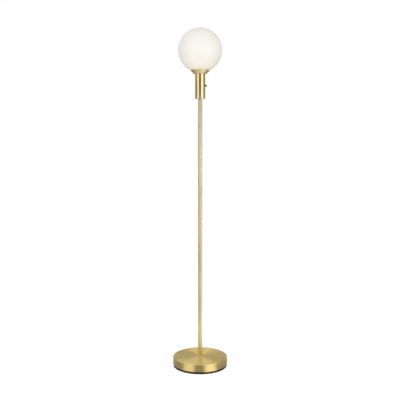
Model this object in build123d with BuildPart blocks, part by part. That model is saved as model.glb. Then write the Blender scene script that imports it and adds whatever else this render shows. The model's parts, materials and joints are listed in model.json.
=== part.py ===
from build123d import *

import os
from math import pi, radians, sqrt, tan

# Globe floor lamp: a weighted round base, a slim pole of three tubes, a switch housing with a
# turning knob, and an opal globe that rests in a shallow cup around the lampholder.
# Millimetres, +Z up. The origin is the middle of the footprint, on the floor. The knob points
# along +X and the mains cord leaves at the back, along +Y.

# ------------------------------------------------------------------------------ base sizes
base_diameter = 250.0
base_height = 45.0
cover_wall = 1.0
cover_shoulder = 4.0
cover_lift = 11.0
pad_stand = 1.5
pad_diameter = 18.0
pad_inset = 17.0
pad_count = 6
pad_edge = 0.5
tray_floor = 2.0
tray_wall = 1.8
tray_edge = 0.8
tray_reveal = 1.2
tray_overlap = 3.0
web_thickness = 13.0
weight_rim = 6.0
boss_diameter = 64.0
boss_thickness = 10.0
nut_pocket_diameter = 40.0
channel_width = 14.0
channel_height = 9.0
tray_screw_inset = 45.0
tray_screw_count = 3
tray_screw_start = 30.0
tray_screw_diameter = 4.0
tray_screw_head = 7.6
tray_screw_length = 10.0

# ----------------------------------------------------------- sizes of the cord entry, terminals
cord_bore = 7.0
cord_height = 22.0
grommet_neck = 10.0
grommet_lip = 2.2
grommet_lip_thickness = 1.6
grommet_tail = 4.0
grommet_edge = 0.5
clamp_inset = 24.0
clamp_length = 9.0
clamp_plate = 2.0
clamp_span = 27.0
clamp_screw_spacing = 20.0
terminal_distance = 52.0
terminal_length = 24.0
terminal_width = 22.0
terminal_height = 13.0
terminal_margin = 4.0
terminal_pitch = 11.0
terminal_edge = 0.8
terminal_screw_inset = 5.0
terminal_screw_length = 4.0
small_screw_diameter = 3.0
small_screw_head = 5.5
small_screw_head_height = 2.0
small_screw_slot = 0.8
small_screw_length = 8.0

# ---------------------------------------------------------------------- sizes of threaded parts
thread_diameter = 10.0
thread_bore = 7.0
nut_width = 14.0
nut_thickness = 4.0
nut_chamfer = 0.5
washer_diameter = 20.0
washer_thickness = 1.6
lock_washer_diameter = 16.0
lock_washer_thickness = 2.0
lock_washer_slit = 1.5
thread_spare = 1.2
thread_grip = 13.0

# --------------------------------------------------------------------------- pole and housing
pole_diameter = 19.0
pole_wall = 1.2
pole_length = 1181.5
pole_sections = ["lower", "middle", "upper"]
insert_length = 15.0
insert_groove = 0.5
housing_diameter = 46.5
housing_height = 106.5
housing_wall = 1.2
housing_edge = 0.8

# ---------------------------------------------------------------------------- switch and knob
switch_rise = 57.0
switch_depth = 15.0
switch_width = 16.0
switch_tall = 15.0
switch_edge = 1.0
switch_terminal_spacing = 9.0
bushing_diameter = 7.0
bushing_stand = 2.0
bushing_flange = 11.0
bushing_flange_thickness = 1.5
ring_nut_diameter = 10.6
ring_nut_thickness = 1.6
ring_nut_edge = 0.3
spindle_diameter = 3.6
spindle_grip = 3.2
spindle_depth = 9.0
knob_diameter = 8.6
knob_tip_diameter = 7.8
knob_length = 4.6
knob_flute_count = 14
knob_flute_diameter = 1.1
knob_edge = 0.6
knob_skirt = 0.9
grub_screw_diameter = 2.0
grub_screw_sink = 0.8

# ------------------------------------------------------------------------------ cup and globe
cup_rim_diameter = 87.6
cup_rise = 18.5
cup_wall = 1.2
cup_curve_radius = 95.0
cup_floor = 1.5
cup_spigot = 6.0
cup_spigot_wall = 1.2
cup_edge = 0.4
gasket_section = 2.6
gasket_below_rim = 3.0
globe_diameter = 196.0
globe_wall = 3.0
neck_diameter = 58.0
neck_depth = 6.0
neck_edge = 1.2
spring_thickness = 0.6
spring_width = 8.0
spring_count = 3
spring_foot_diameter = 43.0
spring_touch_rise = 9.0
spring_tip_rise = 13.0
spring_tip_lean = 2.4

# ------------------------------------------------------------------------ lampholder and bulb
skirt_diameter = 27.0
skirt_above_floor = 18.0
skirt_lip = 1.5
holder_wall = 1.6
holder_depth = 27.0
collar_diameter = 38.0
collar_thickness = 3.0
holder_cap_thickness = 3.0
holder_cap_edge = 1.2
thread_ridge = 0.5
skirt_thread_pitch = 2.5
skirt_thread_count = 6
shade_ring_diameter = 40.0
shade_ring_height = 5.0
shade_ring_flute_count = 24
shade_ring_flute_diameter = 2.4
screw_shell_diameter = 15.4
screw_shell_wall = 0.5
screw_shell_length = 22.0
core_base_height = 14.0
core_tube_wall = 1.6
contact_diameter = 6.0
contact_height = 1.6
contact_screw_rise = 4.5
holder_wire_x = 5.0
holder_wire_y = 6.5
bulb_cap_diameter = 13.0
bulb_cap_length = 23.0
bulb_thread_pitch = 2.8
bulb_thread_count = 6
bulb_tip_diameter = 5.0
bulb_tip_height = 1.6
bulb_neck_diameter = 16.0
bulb_collar_rise = 12.0
bulb_collar_diameter = 30.0
bulb_ball_diameter = 45.0
bulb_wall = 1.2

# ------------------------------------------------------------------------------------- wiring
wire_diameter = 2.2
wire_spacing = 3.0
wire_grip = 7.0
share_of_run = 0.45

# --------------------------------------------------------------------------- named clearances
thread_clearance = 0.05
press_clearance = 0.03
running_clearance = 0.05
seat_clearance = 0.05
hole_clearance = 0.25
knob_clearance = 0.3
weight_clearance = 2.3
wire_clearance = 0.3

# ---------------------------------------------------------------------- places in the base
base_radius = base_diameter / 2
pad_circle = base_radius - pad_inset
tray_screw_circle = base_radius - tray_screw_inset
clamp_distance = base_radius - clamp_inset
tray_radius = base_radius - tray_reveal
tray_top = cover_lift + tray_overlap
weight_bottom = pad_stand + tray_floor
weight_top = base_height - cover_wall
weight_radius = tray_radius - tray_wall - weight_clearance
web_top = weight_bottom + web_thickness
nut_pocket_top = weight_top - boss_thickness
wire_height = weight_bottom + channel_height / 2
cord_slot_height = 2 * (cord_height - web_top) + cord_bore / 2
terminal_top = weight_bottom + terminal_height
terminal_middle = terminal_distance + terminal_length / 2
terminal_screw_rows = terminal_length - 2 * terminal_screw_inset
thread_radius = thread_diameter / 2
thread_hole = thread_radius + thread_clearance
clear_hole = thread_radius + hole_clearance
wire_radius = wire_diameter / 2
wire_hole = wire_radius + wire_clearance
small_thread = small_screw_diameter / 2 + thread_clearance

# Each nut stack is a washer, a lock washer and a nut, and the thread stands out past it.
nut_stack = washer_thickness + lock_washer_thickness + nut_thickness
stud_bottom = nut_pocket_top - nut_stack - thread_spare
stud_top = base_height + thread_grip

# ----------------------------------------------------------------- places in the pole, housing
pole_radius = pole_diameter / 2
insert_radius = pole_radius - pole_wall - press_clearance
tube_length = pole_length / len(pole_sections)
housing_bottom = base_height + pole_length
housing_radius = housing_diameter / 2
housing_inner_radius = housing_radius - housing_wall
housing_top = housing_bottom + housing_height
housing_floor = housing_bottom + housing_wall
nipple_top = housing_floor + nut_stack + thread_spare

# ------------------------------------------------------------------- places along the knob axis
switch_height = housing_bottom + switch_rise
switch_seat = sqrt(housing_inner_radius**2 - (bushing_flange / 2) ** 2) - seat_clearance
switch_front = switch_seat - bushing_flange_thickness
switch_back = switch_front - switch_depth
bushing_end = housing_radius + bushing_stand
ring_nut_start = housing_radius + seat_clearance
spindle_start = bushing_end - spindle_depth
spindle_radius = spindle_diameter / 2
knob_start = bushing_end + knob_clearance
knob_end = knob_start + knob_length
grub_screw_x = knob_start + spindle_grip / 2

# ---------------------------------------------------------------------- places around the cup
cup_rim_radius = cup_rim_diameter / 2
cup_rim_height = housing_top + cup_rise
cup_floor_top = housing_top + cup_floor
spigot_radius = housing_inner_radius - press_clearance
skirt_radius = skirt_diameter / 2
skirt_hole = skirt_radius + thread_ridge + hole_clearance

# The bowl's side is an arc. Its centre lies past the axis, at right angles to the chord that
# joins the housing's top edge to the rim.
bowl_run = cup_rim_radius - housing_radius
bowl_chord = sqrt(bowl_run**2 + cup_rise**2)
bowl_reach = sqrt(cup_curve_radius**2 - (bowl_chord / 2) ** 2)
bowl_centre_radius = (cup_rim_radius + housing_radius) / 2 - bowl_reach * cup_rise / bowl_chord
bowl_centre_height = housing_top + cup_rise / 2 + bowl_reach * bowl_run / bowl_chord


def bowl_radius(height, inset=0.0):
    """Radius of the bowl at a height, on a surface that lies inset from its outside."""
    drop = bowl_centre_height - height
    return bowl_centre_radius + sqrt((cup_curve_radius - inset) ** 2 - drop**2)


# The sealing ring lies inside the bowl, and the globe rests on the ring.
globe_radius = globe_diameter / 2
gasket_radius = gasket_section / 2
gasket_height = cup_rim_height - gasket_below_rim
gasket_circle = bowl_radius(gasket_height, cup_wall + gasket_radius + seat_clearance)
gasket_reach = globe_radius + gasket_radius + seat_clearance
globe_height = gasket_height + sqrt(gasket_reach**2 - gasket_circle**2)
neck_radius = neck_diameter / 2
neck_inner_radius = neck_radius - globe_wall
neck_bottom = globe_height - sqrt(globe_radius**2 - neck_radius**2) - neck_depth
spring_reach = sqrt((neck_inner_radius - seat_clearance) ** 2 - (spring_width / 2) ** 2)
spring_touch = spring_reach - spring_thickness / 2

# ----------------------------------------------------------------- places in lampholder, bulb
holder_bottom = housing_top - holder_depth
skirt_top = cup_floor_top + skirt_above_floor
skirt_bore = skirt_radius - holder_wall
shade_ring_bottom = cup_floor_top + spring_thickness
core_radius = skirt_bore - hole_clearance
core_top = holder_bottom + core_base_height
screw_shell_radius = screw_shell_diameter / 2
screw_shell_top = core_top + screw_shell_length
core_bore = screw_shell_radius + press_clearance
contact_top = core_top + contact_height
bulb_tip_bottom = contact_top + seat_clearance
bulb_cap_bottom = bulb_tip_bottom + bulb_tip_height
bulb_cap_top = bulb_cap_bottom + bulb_cap_length
bulb_collar_top = skirt_top + bulb_collar_rise
bulb_ball_radius = bulb_ball_diameter / 2
bulb_seam_radius = bulb_collar_diameter / 2
bulb_ball_height = bulb_collar_top + sqrt(bulb_ball_radius**2 - bulb_seam_radius**2)

os.makedirs("parts", exist_ok=True)


def keep(piece, name):
    """Label a finished piece and write it under its name."""
    piece.part.label = name
    export_step(piece.part, f"parts/{name}.step")


def half_section(*points):
    """Half section of a turned piece, from (radius, height) points."""
    with BuildSketch(Plane.XZ) as section:
        with BuildLine():
            Polyline(*points, close=True)
        make_face()
    return section.sketch


def pan_screw(length):
    """Small pan-head screw: its head stands on the origin's plane, its shank points down."""
    with BuildPart() as screw:
        with BuildSketch():
            Circle(small_screw_head / 2)
        extrude(amount=small_screw_head_height)
        fillet(screw.edges().sort_by(Axis.Z)[-1], small_screw_head_height / 2)
        with BuildSketch():
            Circle(small_screw_diameter / 2)
        extrude(amount=-length)
        with BuildSketch(Plane.XY.offset(small_screw_head_height)):
            Rectangle(small_screw_head, small_screw_slot)
        extrude(amount=-small_screw_head_height / 2, mode=Mode.SUBTRACT)
    return screw.part


def tray_screw_spots():
    """Places of the tray's screws, which keep clear of the channel at the back."""
    return PolarLocations(tray_screw_circle, tray_screw_count, tray_screw_start)


def clamp_spots():
    """Places of the cord clamp's screws, on each side of the cord."""
    return GridLocations(clamp_screw_spacing, 1, 2, 1)


def terminal_spots(rows):
    """Places across the terminal block's ways, in one row or in its two rows of screws."""
    return GridLocations(terminal_pitch, terminal_screw_rows, 2, rows)


# ================================================================================== base
# Pressed cover: a shallow round pan, open below, with a hole for the stud and one for the cord.
with BuildPart() as base_cover:
    with BuildSketch(Plane.XY.offset(cover_lift)):
        Circle(base_radius)
    extrude(amount=base_height - cover_lift)
    fillet(base_cover.faces().sort_by(Axis.Z)[-1].edges(), cover_shoulder)
    offset(amount=-cover_wall, openings=base_cover.faces().sort_by(Axis.Z)[0])
    with BuildSketch(Plane.XY.offset(weight_top)):
        Circle(clear_hole)
    extrude(amount=cover_wall, mode=Mode.SUBTRACT)
    with BuildSketch(Plane.back.offset(weight_radius)):
        with Locations((0, cord_height)):
            Circle(grommet_neck / 2 + hole_clearance)
    extrude(amount=base_radius, mode=Mode.SUBTRACT)
keep(base_cover, "base_cover")

# Cast weight: a web with a rim and a middle boss that carry the cover. Below, it has a pocket
# for the stud's nut and a channel for the wires; at the back, a slot for the cord.
with BuildPart() as base_weight:
    with BuildSketch(Plane.XY.offset(weight_bottom)):
        Circle(weight_radius)
    extrude(amount=web_thickness)
    with BuildSketch(Plane.XY.offset(web_top)):
        Circle(weight_radius)
        Circle(weight_radius - weight_rim, mode=Mode.SUBTRACT)
        Circle(boss_diameter / 2)
    extrude(amount=weight_top - web_top)
    with BuildSketch(Plane.XY.offset(weight_bottom)):
        Circle(nut_pocket_diameter / 2)
    extrude(amount=nut_pocket_top - weight_bottom, mode=Mode.SUBTRACT)
    with BuildSketch(Plane.XY.offset(nut_pocket_top)):
        Circle(clear_hole)
    extrude(amount=boss_thickness, mode=Mode.SUBTRACT)
    with BuildSketch(Plane.XY.offset(weight_bottom)):
        Rectangle(channel_width, terminal_distance, align=(Align.CENTER, Align.MIN))
    extrude(amount=channel_height, mode=Mode.SUBTRACT)
    with BuildSketch(Plane.XY.offset(weight_bottom)):
        with Locations((0, terminal_middle)):
            Rectangle(terminal_width + 2 * terminal_margin, terminal_length + 2 * terminal_margin)
    extrude(amount=web_thickness, mode=Mode.SUBTRACT)
    with BuildSketch(Plane.back.offset(weight_radius - 2 * weight_rim)):
        with Locations((0, web_top)):
            Rectangle(channel_width, cord_slot_height, align=(Align.CENTER, Align.MIN))
    extrude(amount=2 * weight_rim, mode=Mode.SUBTRACT)
    with BuildSketch(Plane.XY.offset(weight_bottom)):
        with tray_screw_spots():
            Circle(tray_screw_diameter / 2 + thread_clearance)
    extrude(amount=tray_screw_length, mode=Mode.SUBTRACT)
    with BuildSketch(Plane.XY.offset(web_top)):
        with Locations((0, clamp_distance)):
            with clamp_spots():
                Circle(small_thread)
    extrude(amount=-small_screw_length, mode=Mode.SUBTRACT)
keep(base_weight, "base_weight")

# Black tray: it closes the base from below, and its side shows as a dark strip under the cover.
with BuildPart() as base_tray:
    with BuildSketch(Plane.XY.offset(pad_stand)):
        Circle(tray_radius)
    extrude(amount=tray_top - pad_stand)
    fillet(base_tray.faces().sort_by(Axis.Z)[0].edges(), tray_edge)
    with BuildSketch(Plane.XY.offset(weight_bottom)):
        Circle(tray_radius - tray_wall)
    extrude(amount=tray_top - weight_bottom, mode=Mode.SUBTRACT)
    with Locations((0, 0, pad_stand)):
        with tray_screw_spots():
            Cone(
                tray_screw_head / 2 + hole_clearance,
                tray_screw_diameter / 2 + hole_clearance,
                tray_floor,
                align=(Align.CENTER, Align.CENTER, Align.MIN),
                mode=Mode.SUBTRACT,
            )
    with BuildSketch(Plane.XY.offset(pad_stand)):
        with Locations((0, terminal_middle)):
            Circle(small_thread)
    extrude(amount=tray_floor, mode=Mode.SUBTRACT)
keep(base_tray, "base_tray")

with BuildPart() as foot_pads:
    with BuildSketch():
        with PolarLocations(pad_circle, pad_count):
            Circle(pad_diameter / 2)
    extrude(amount=pad_stand)
    fillet(foot_pads.faces().group_by(Axis.Z)[0].edges(), pad_edge)
keep(foot_pads, "foot_pads")

# Countersunk screws that hold the tray to the weight. They point up.
with BuildPart() as tray_screws:
    with Locations((0, 0, pad_stand)):
        with tray_screw_spots():
            Cone(
                tray_screw_head / 2,
                tray_screw_diameter / 2,
                tray_floor,
                align=(Align.CENTER, Align.CENTER, Align.MIN),
            )
    with BuildSketch(Plane.XY.offset(weight_bottom)):
        with tray_screw_spots():
            Circle(tray_screw_diameter / 2)
    extrude(amount=tray_screw_length - hole_clearance)
    with BuildSketch(Plane.XY.offset(pad_stand)):
        with tray_screw_spots():
            Rectangle(tray_screw_head / 2, small_screw_slot)
            Rectangle(small_screw_slot, tray_screw_head / 2)
    extrude(amount=tray_floor / 2, mode=Mode.SUBTRACT)
keep(tray_screws, "tray_screws")

# Cord grommet: a bush that snaps into the cover's wall, with a lip on each side of it.
grommet_neck_radius = grommet_neck / 2
grommet_lip_radius = grommet_neck_radius + grommet_lip
grommet_seat = base_radius + seat_clearance
grommet_back = sqrt((base_radius - cover_wall) ** 2 - grommet_lip_radius**2) - seat_clearance
with BuildPart() as cord_grommet:
    with BuildSketch(Plane.back.offset(grommet_back - grommet_tail)):
        with Locations((0, cord_height)):
            Circle(grommet_neck_radius)
    extrude(amount=grommet_seat + grommet_lip_thickness - grommet_back + grommet_tail)
    with BuildSketch(Plane.back.offset(grommet_seat)):
        with Locations((0, cord_height)):
            Circle(grommet_lip_radius)
    extrude(amount=grommet_lip_thickness)
    fillet(cord_grommet.faces().sort_by(Axis.Y)[-1].edges(), grommet_edge)
    with BuildSketch(Plane.back.offset(grommet_back)):
        with Locations((0, cord_height)):
            Circle(grommet_lip_radius)
    extrude(amount=-grommet_lip_thickness)
    with BuildSketch(Plane.back.offset(grommet_back - grommet_tail)):
        with Locations((0, cord_height)):
            Circle(cord_bore / 2)
    extrude(amount=base_radius, mode=Mode.SUBTRACT)
keep(cord_grommet, "cord_grommet")

# Cord clamp: a saddle over the cord, screwed to the web, and its two screws.
with BuildPart() as cord_clamp:
    with BuildSketch(Plane.back.offset(clamp_distance - clamp_length / 2)):
        with Locations((0, web_top)):
            Rectangle(clamp_span, clamp_plate, align=(Align.CENTER, Align.MIN))
            Rectangle(
                cord_bore + 2 * clamp_plate,
                cord_height - web_top,
                align=(Align.CENTER, Align.MIN),
            )
        with Locations((0, cord_height)):
            Circle(cord_bore / 2 + clamp_plate)
            Circle(cord_bore / 2, mode=Mode.SUBTRACT)
        with Locations((0, cord_height)):
            Rectangle(
                cord_bore,
                cord_height - web_top + cord_bore,
                align=(Align.CENTER, Align.MAX),
                mode=Mode.SUBTRACT,
            )
        with Locations((0, web_top)):
            Rectangle(
                clamp_span,
                cord_bore,
                align=(Align.CENTER, Align.MAX),
                mode=Mode.SUBTRACT,
            )
    extrude(amount=clamp_length)
    with BuildSketch(Plane.XY.offset(web_top)):
        with Locations((0, clamp_distance)):
            with clamp_spots():
                Circle(small_screw_diameter / 2 + hole_clearance)
    extrude(amount=clamp_plate, mode=Mode.SUBTRACT)
keep(cord_clamp, "cord_clamp")

clamp_screw = pan_screw(clamp_plate + small_screw_length - hole_clearance)
with BuildPart() as clamp_screws:
    with Locations((0, clamp_distance, web_top + clamp_plate)):
        with clamp_spots():
            add(clamp_screw)
keep(clamp_screws, "clamp_screws")

# Terminal block: two ways side by side, for the cord from the back and the wires to the pole.
with BuildPart() as terminal_block:
    with BuildSketch(Plane.XY.offset(weight_bottom)):
        with Locations((0, terminal_middle)):
            Rectangle(terminal_width, terminal_length)
    extrude(amount=terminal_height)
    fillet(terminal_block.edges().filter_by(Axis.Z), terminal_edge)
    with BuildSketch(Plane.back.offset(terminal_distance)):
        with Locations((0, wire_height)):
            with terminal_spots(1):
                Circle(wire_hole)
    extrude(amount=terminal_length, mode=Mode.SUBTRACT)
    with BuildSketch(Plane.XY.offset(wire_height)):
        with Locations((0, terminal_middle)):
            with terminal_spots(2):
                Circle(small_thread)
    extrude(amount=terminal_height, mode=Mode.SUBTRACT)
    with BuildSketch(Plane.XY.offset(weight_bottom)):
        with Locations((0, terminal_middle)):
            Circle(small_screw_diameter / 2 + hole_clearance)
    extrude(amount=terminal_height, mode=Mode.SUBTRACT)
keep(terminal_block, "terminal_block")

terminal_screw_bottom = wire_height + wire_radius + seat_clearance
with BuildPart() as terminal_screws:
    with BuildSketch(Plane.XY.offset(terminal_screw_bottom)):
        with Locations((0, terminal_middle)):
            with terminal_spots(2):
                Circle(small_screw_diameter / 2)
    extrude(amount=terminal_screw_length)
    with BuildSketch(Plane.XY.offset(terminal_screw_bottom + terminal_screw_length)):
        with Locations((0, terminal_middle)):
            with terminal_spots(2):
                Rectangle(small_screw_diameter, small_screw_slot)
    extrude(amount=-small_screw_slot, mode=Mode.SUBTRACT)
keep(terminal_screws, "terminal_screws")

block_screw = pan_screw(terminal_height + tray_floor - hole_clearance)
with BuildPart() as terminal_fixing_screw:
    with Locations((0, terminal_middle, terminal_top)):
        add(block_screw)
keep(terminal_fixing_screw, "terminal_fixing_screw")

# ================================================================================== pole


def hollow_thread(bottom, top):
    """Section of a hollow threaded piece between two heights, with its ends bevelled."""
    bevel = thread_clearance + nut_chamfer
    return half_section(
        (thread_bore / 2, bottom),
        (thread_radius - bevel, bottom),
        (thread_radius, bottom + bevel),
        (thread_radius, top - bevel),
        (thread_radius - bevel, top),
        (thread_bore / 2, top),
    )


with BuildPart() as base_stud:
    revolve(hollow_thread(stud_bottom, stud_top), axis=Axis.Z)
keep(base_stud, "base_stud")

with BuildPart() as top_nipple:
    revolve(hollow_thread(housing_bottom - thread_grip, nipple_top), axis=Axis.Z)
keep(top_nipple, "top_nipple")

# Under the base the stack hangs down from the pocket's roof. In the housing it stands on the
# floor. The direction says which way it grows from its seat.
nut_stacks = {"stud": (nut_pocket_top, -1), "housing": (housing_floor, 1)}
for place, (seat, direction) in nut_stacks.items():
    with BuildPart() as washer:
        with BuildSketch(Plane.XY.offset(seat)):
            Circle(washer_diameter / 2)
            Circle(clear_hole, mode=Mode.SUBTRACT)
        extrude(amount=direction * washer_thickness)
    keep(washer, f"{place}_washer")

    lock_washer_seat = seat + direction * washer_thickness
    with BuildPart() as lock_washer:
        with BuildSketch(Plane.XY.offset(lock_washer_seat)):
            Circle(lock_washer_diameter / 2)
            Circle(clear_hole, mode=Mode.SUBTRACT)
            Rectangle(
                lock_washer_diameter,
                lock_washer_slit,
                align=(Align.MIN, Align.CENTER),
                mode=Mode.SUBTRACT,
            )
        extrude(amount=direction * lock_washer_thickness)
    keep(lock_washer, f"{place}_lock_washer")

    nut_seat = lock_washer_seat + direction * lock_washer_thickness
    with BuildPart() as nut:
        with BuildSketch(Plane.XY.offset(nut_seat)):
            RegularPolygon(nut_width / 2, 6, major_radius=False)
            Circle(thread_hole, mode=Mode.SUBTRACT)
        extrude(amount=direction * nut_thickness)
        chamfer(nut.edges().filter_by(GeomType.CIRCLE), nut_chamfer)
    keep(nut, f"{place}_nut")

# Three tubes stand on each other. A threaded insert is pressed into each end of each tube, and
# a hollow nipple joins one tube to the next.
for index, section_name in enumerate(pole_sections):
    tube_bottom = base_height + index * tube_length
    tube_top = tube_bottom + tube_length
    with BuildPart() as pole_tube:
        with BuildSketch(Plane.XY.offset(tube_bottom)):
            Circle(pole_radius)
            Circle(pole_radius - pole_wall, mode=Mode.SUBTRACT)
        extrude(amount=tube_length)
    keep(pole_tube, f"pole_{section_name}_tube")

    insert_places = {"bottom": tube_bottom, "top": tube_top - insert_length}
    for end_name, insert_bottom in insert_places.items():
        with BuildPart() as insert:
            with BuildSketch(Plane.XY.offset(insert_bottom)):
                Circle(insert_radius)
                Circle(thread_hole, mode=Mode.SUBTRACT)
            extrude(amount=insert_length)
            with BuildSketch(Plane.XY.offset(insert_bottom + insert_length / 3)):
                Circle(insert_radius)
                Circle(insert_radius - insert_groove, mode=Mode.SUBTRACT)
            extrude(amount=insert_length / 3, mode=Mode.SUBTRACT)
        keep(insert, f"pole_{section_name}_{end_name}_insert")

    if index > 0:
        with BuildPart() as nipple:
            joint_thread = hollow_thread(tube_bottom - thread_grip, tube_bottom + thread_grip)
            revolve(joint_thread, axis=Axis.Z)
        keep(nipple, f"pole_nipple_{index}")

# =============================================================================== housing
# Drawn cylinder, closed below, with a hole for the nipple and one for the switch's bushing.
with BuildPart() as housing:
    with BuildSketch(Plane.XY.offset(housing_bottom)):
        Circle(housing_radius)
    extrude(amount=housing_height)
    fillet(housing.faces().sort_by(Axis.Z)[0].edges(), housing_edge)
    with BuildSketch(Plane.XY.offset(housing_floor)):
        Circle(housing_inner_radius)
    extrude(amount=housing_height, mode=Mode.SUBTRACT)
    with BuildSketch(Plane.XY.offset(housing_bottom)):
        Circle(clear_hole)
    extrude(amount=housing_wall, mode=Mode.SUBTRACT)
    with BuildSketch(Plane.right):
        with Locations((0, switch_height)):
            Circle(bushing_diameter / 2 + hole_clearance)
    extrude(amount=housing_diameter, mode=Mode.SUBTRACT)
keep(housing, "housing")

# ================================================================================ switch
# Rotary switch: its body is inside, and its threaded bushing passes through the wall.
with BuildPart() as switch_body:
    with BuildSketch(Plane.right.offset(switch_back)):
        with Locations((0, switch_height)):
            Rectangle(switch_width, switch_tall)
    extrude(amount=switch_depth)
    fillet(switch_body.edges().filter_by(Axis.X), switch_edge)
    with BuildSketch(Plane.right.offset(switch_front)):
        with Locations((0, switch_height)):
            Circle(bushing_flange / 2)
    extrude(amount=bushing_flange_thickness)
    with BuildSketch(Plane.right.offset(switch_seat)):
        with Locations((0, switch_height)):
            Circle(bushing_diameter / 2)
    extrude(amount=bushing_end - switch_seat)
    with BuildSketch(Plane.right.offset(spindle_start - running_clearance)):
        with Locations((0, switch_height)):
            Circle(spindle_radius + running_clearance)
    extrude(amount=base_radius, mode=Mode.SUBTRACT)
    with BuildSketch(Plane.right.offset(switch_back)):
        with Locations((0, switch_height)):
            with GridLocations(switch_terminal_spacing, 1, 2, 1):
                Circle(wire_hole)
    extrude(amount=wire_grip + wire_clearance, mode=Mode.SUBTRACT)
keep(switch_body, "switch_body")

with BuildPart() as switch_ring_nut:
    with BuildSketch(Plane.right.offset(ring_nut_start)):
        with Locations((0, switch_height)):
            Circle(ring_nut_diameter / 2)
            Circle(bushing_diameter / 2 + thread_clearance, mode=Mode.SUBTRACT)
    extrude(amount=ring_nut_thickness)
    ring_nut_rims = switch_ring_nut.faces().sort_by(Axis.X)[-1].edges()
    chamfer(ring_nut_rims.sort_by(SortBy.RADIUS)[-1], ring_nut_edge)
keep(switch_ring_nut, "switch_ring_nut")

with BuildPart() as switch_spindle:
    with BuildSketch(Plane.right.offset(spindle_start)):
        with Locations((0, switch_height)):
            Circle(spindle_radius)
    extrude(amount=knob_start + spindle_grip - spindle_start)
keep(switch_spindle, "switch_spindle")

# Knob: a slightly tapered grip with flutes, on a plain skirt.
with BuildPart() as switch_knob:
    with BuildSketch(Plane.right.offset(knob_start)):
        with Locations((0, switch_height)):
            Circle(knob_diameter / 2)
    with BuildSketch(Plane.right.offset(knob_end)):
        with Locations((0, switch_height)):
            Circle(knob_tip_diameter / 2)
    loft()
    fillet(switch_knob.faces().sort_by(Axis.X)[-1].edges(), knob_edge)
    with BuildSketch(Plane.right.offset(knob_start + knob_skirt)):
        with Locations((0, switch_height)):
            with PolarLocations(knob_diameter / 2, knob_flute_count):
                Circle(knob_flute_diameter / 2)
    extrude(amount=knob_length, mode=Mode.SUBTRACT)
    with BuildSketch(Plane.right.offset(knob_start)):
        with Locations((0, switch_height)):
            Circle(spindle_radius + press_clearance)
    extrude(amount=spindle_grip + press_clearance, mode=Mode.SUBTRACT)
    with BuildSketch(Plane.XY.offset(switch_height)):
        with Locations((grub_screw_x, 0)):
            Circle(grub_screw_diameter / 2 + thread_clearance)
    extrude(amount=knob_diameter, mode=Mode.SUBTRACT)
keep(switch_knob, "switch_knob")

with BuildPart() as knob_grub_screw:
    with BuildSketch(Plane.XY.offset(switch_height + spindle_radius + seat_clearance)):
        with Locations((grub_screw_x, 0)):
            Circle(grub_screw_diameter / 2)
    extrude(amount=knob_tip_diameter / 2 - spindle_radius - grub_screw_sink)
keep(knob_grub_screw, "knob_grub_screw")

# =================================================================================== cup
# The cup: a floor with a hole for the lampholder, a spigot in the housing, and a curved side.
cup_side_middle = (housing_top + cup_rim_height) / 2
cup_inner_middle = (cup_floor_top + cup_rim_height) / 2
with BuildPart() as globe_cup:
    with BuildSketch(Plane.XZ):
        with BuildLine():
            ThreePointArc(
                (housing_radius, housing_top),
                (bowl_radius(cup_side_middle), cup_side_middle),
                (cup_rim_radius, cup_rim_height),
            )
            ThreePointArc(
                (bowl_radius(cup_rim_height, cup_wall), cup_rim_height),
                (bowl_radius(cup_inner_middle, cup_wall), cup_inner_middle),
                (bowl_radius(cup_floor_top, cup_wall), cup_floor_top),
            )
            Line(
                (cup_rim_radius, cup_rim_height),
                (bowl_radius(cup_rim_height, cup_wall), cup_rim_height),
            )
            Polyline(
                (bowl_radius(cup_floor_top, cup_wall), cup_floor_top),
                (skirt_hole, cup_floor_top),
                (skirt_hole, housing_top),
                (spigot_radius - cup_spigot_wall, housing_top),
                (spigot_radius - cup_spigot_wall, housing_top - cup_spigot),
                (spigot_radius, housing_top - cup_spigot),
                (spigot_radius, housing_top),
                (housing_radius, housing_top),
            )
        make_face()
    revolve(axis=Axis.Z)
    fillet(globe_cup.faces().sort_by(Axis.Z)[-1].edges(), cup_edge)
keep(globe_cup, "globe_cup")

# Sealing ring of round section, in the bowl under the rim.
with BuildPart() as globe_gasket:
    with BuildSketch(Plane.XZ):
        with Locations((gasket_circle, gasket_height)):
            Circle(gasket_radius)
    revolve(axis=Axis.Z)
keep(globe_gasket, "globe_gasket")

# Spring ring: a flat ring on the cup's floor, with arms that press outwards in the globe's neck.
spring_middle = cup_floor_top + spring_thickness / 2
spring_foot = spring_foot_diameter / 2
with BuildPart() as globe_spring:
    with BuildSketch(Plane.XY.offset(cup_floor_top)):
        Circle(spring_foot)
        Circle(skirt_hole, mode=Mode.SUBTRACT)
    extrude(amount=spring_thickness)
    with BuildSketch(Plane.XZ) as spring_arm:
        with BuildLine():
            Polyline(
                (skirt_hole + spring_thickness, spring_middle),
                (spring_foot - spring_thickness, spring_middle),
                (spring_touch, cup_floor_top + spring_touch_rise),
                (spring_touch - spring_tip_lean, cup_floor_top + spring_tip_rise),
            )
        trace(line_width=spring_thickness)
    with PolarLocations(0, spring_count):
        extrude(spring_arm.sketch, amount=spring_width / 2, both=True)
keep(globe_spring, "globe_spring")

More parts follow.
